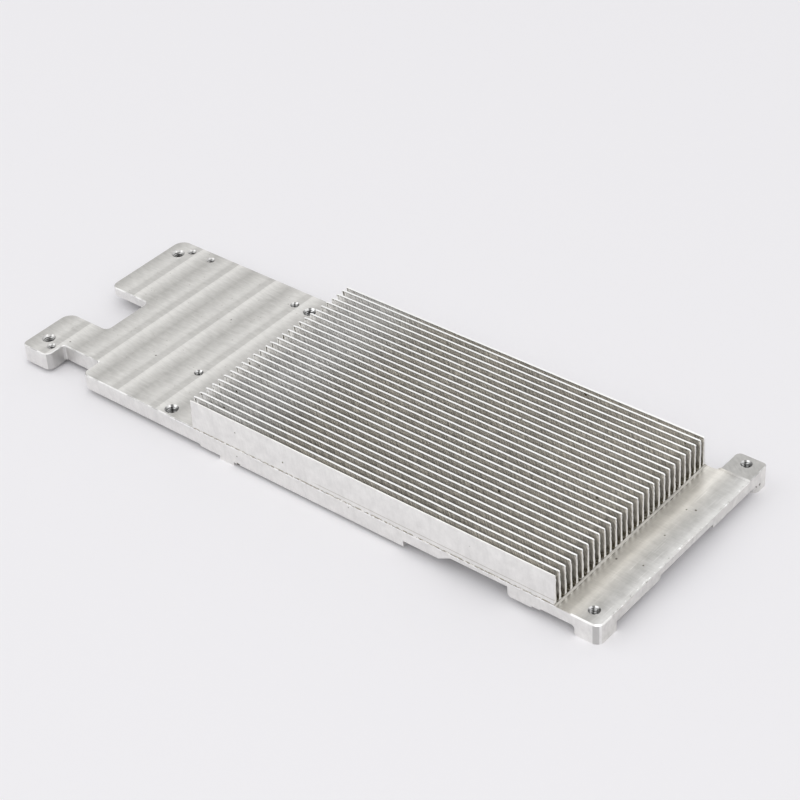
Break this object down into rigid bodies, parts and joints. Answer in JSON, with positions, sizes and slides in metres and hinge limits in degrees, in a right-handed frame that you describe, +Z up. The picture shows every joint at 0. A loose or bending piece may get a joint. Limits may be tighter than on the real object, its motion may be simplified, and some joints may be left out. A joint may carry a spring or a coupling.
{
  "type": "skived fin heat sink",
  "caption": "Long flat skived fin heat sink for a low-profile expansion card, with a notched end, a corner ear, standing feet and tapped fixing holes.",
  "frame": {"origin": "centre of the outline, on the surface the feet stand on", "axes": "+X along the fins from the notched end to the ear end, +Y across the fins to the ear side, +Z up out of the fins"},
  "size_m": [0.171, 0.064, 0.0133],
  "materials": {
    "aluminium": "bare, milled and brushed"
  },
  "bodies": {
    "root": {"skived_heat_sink": "aluminium"}
  },
  "joints": []
}
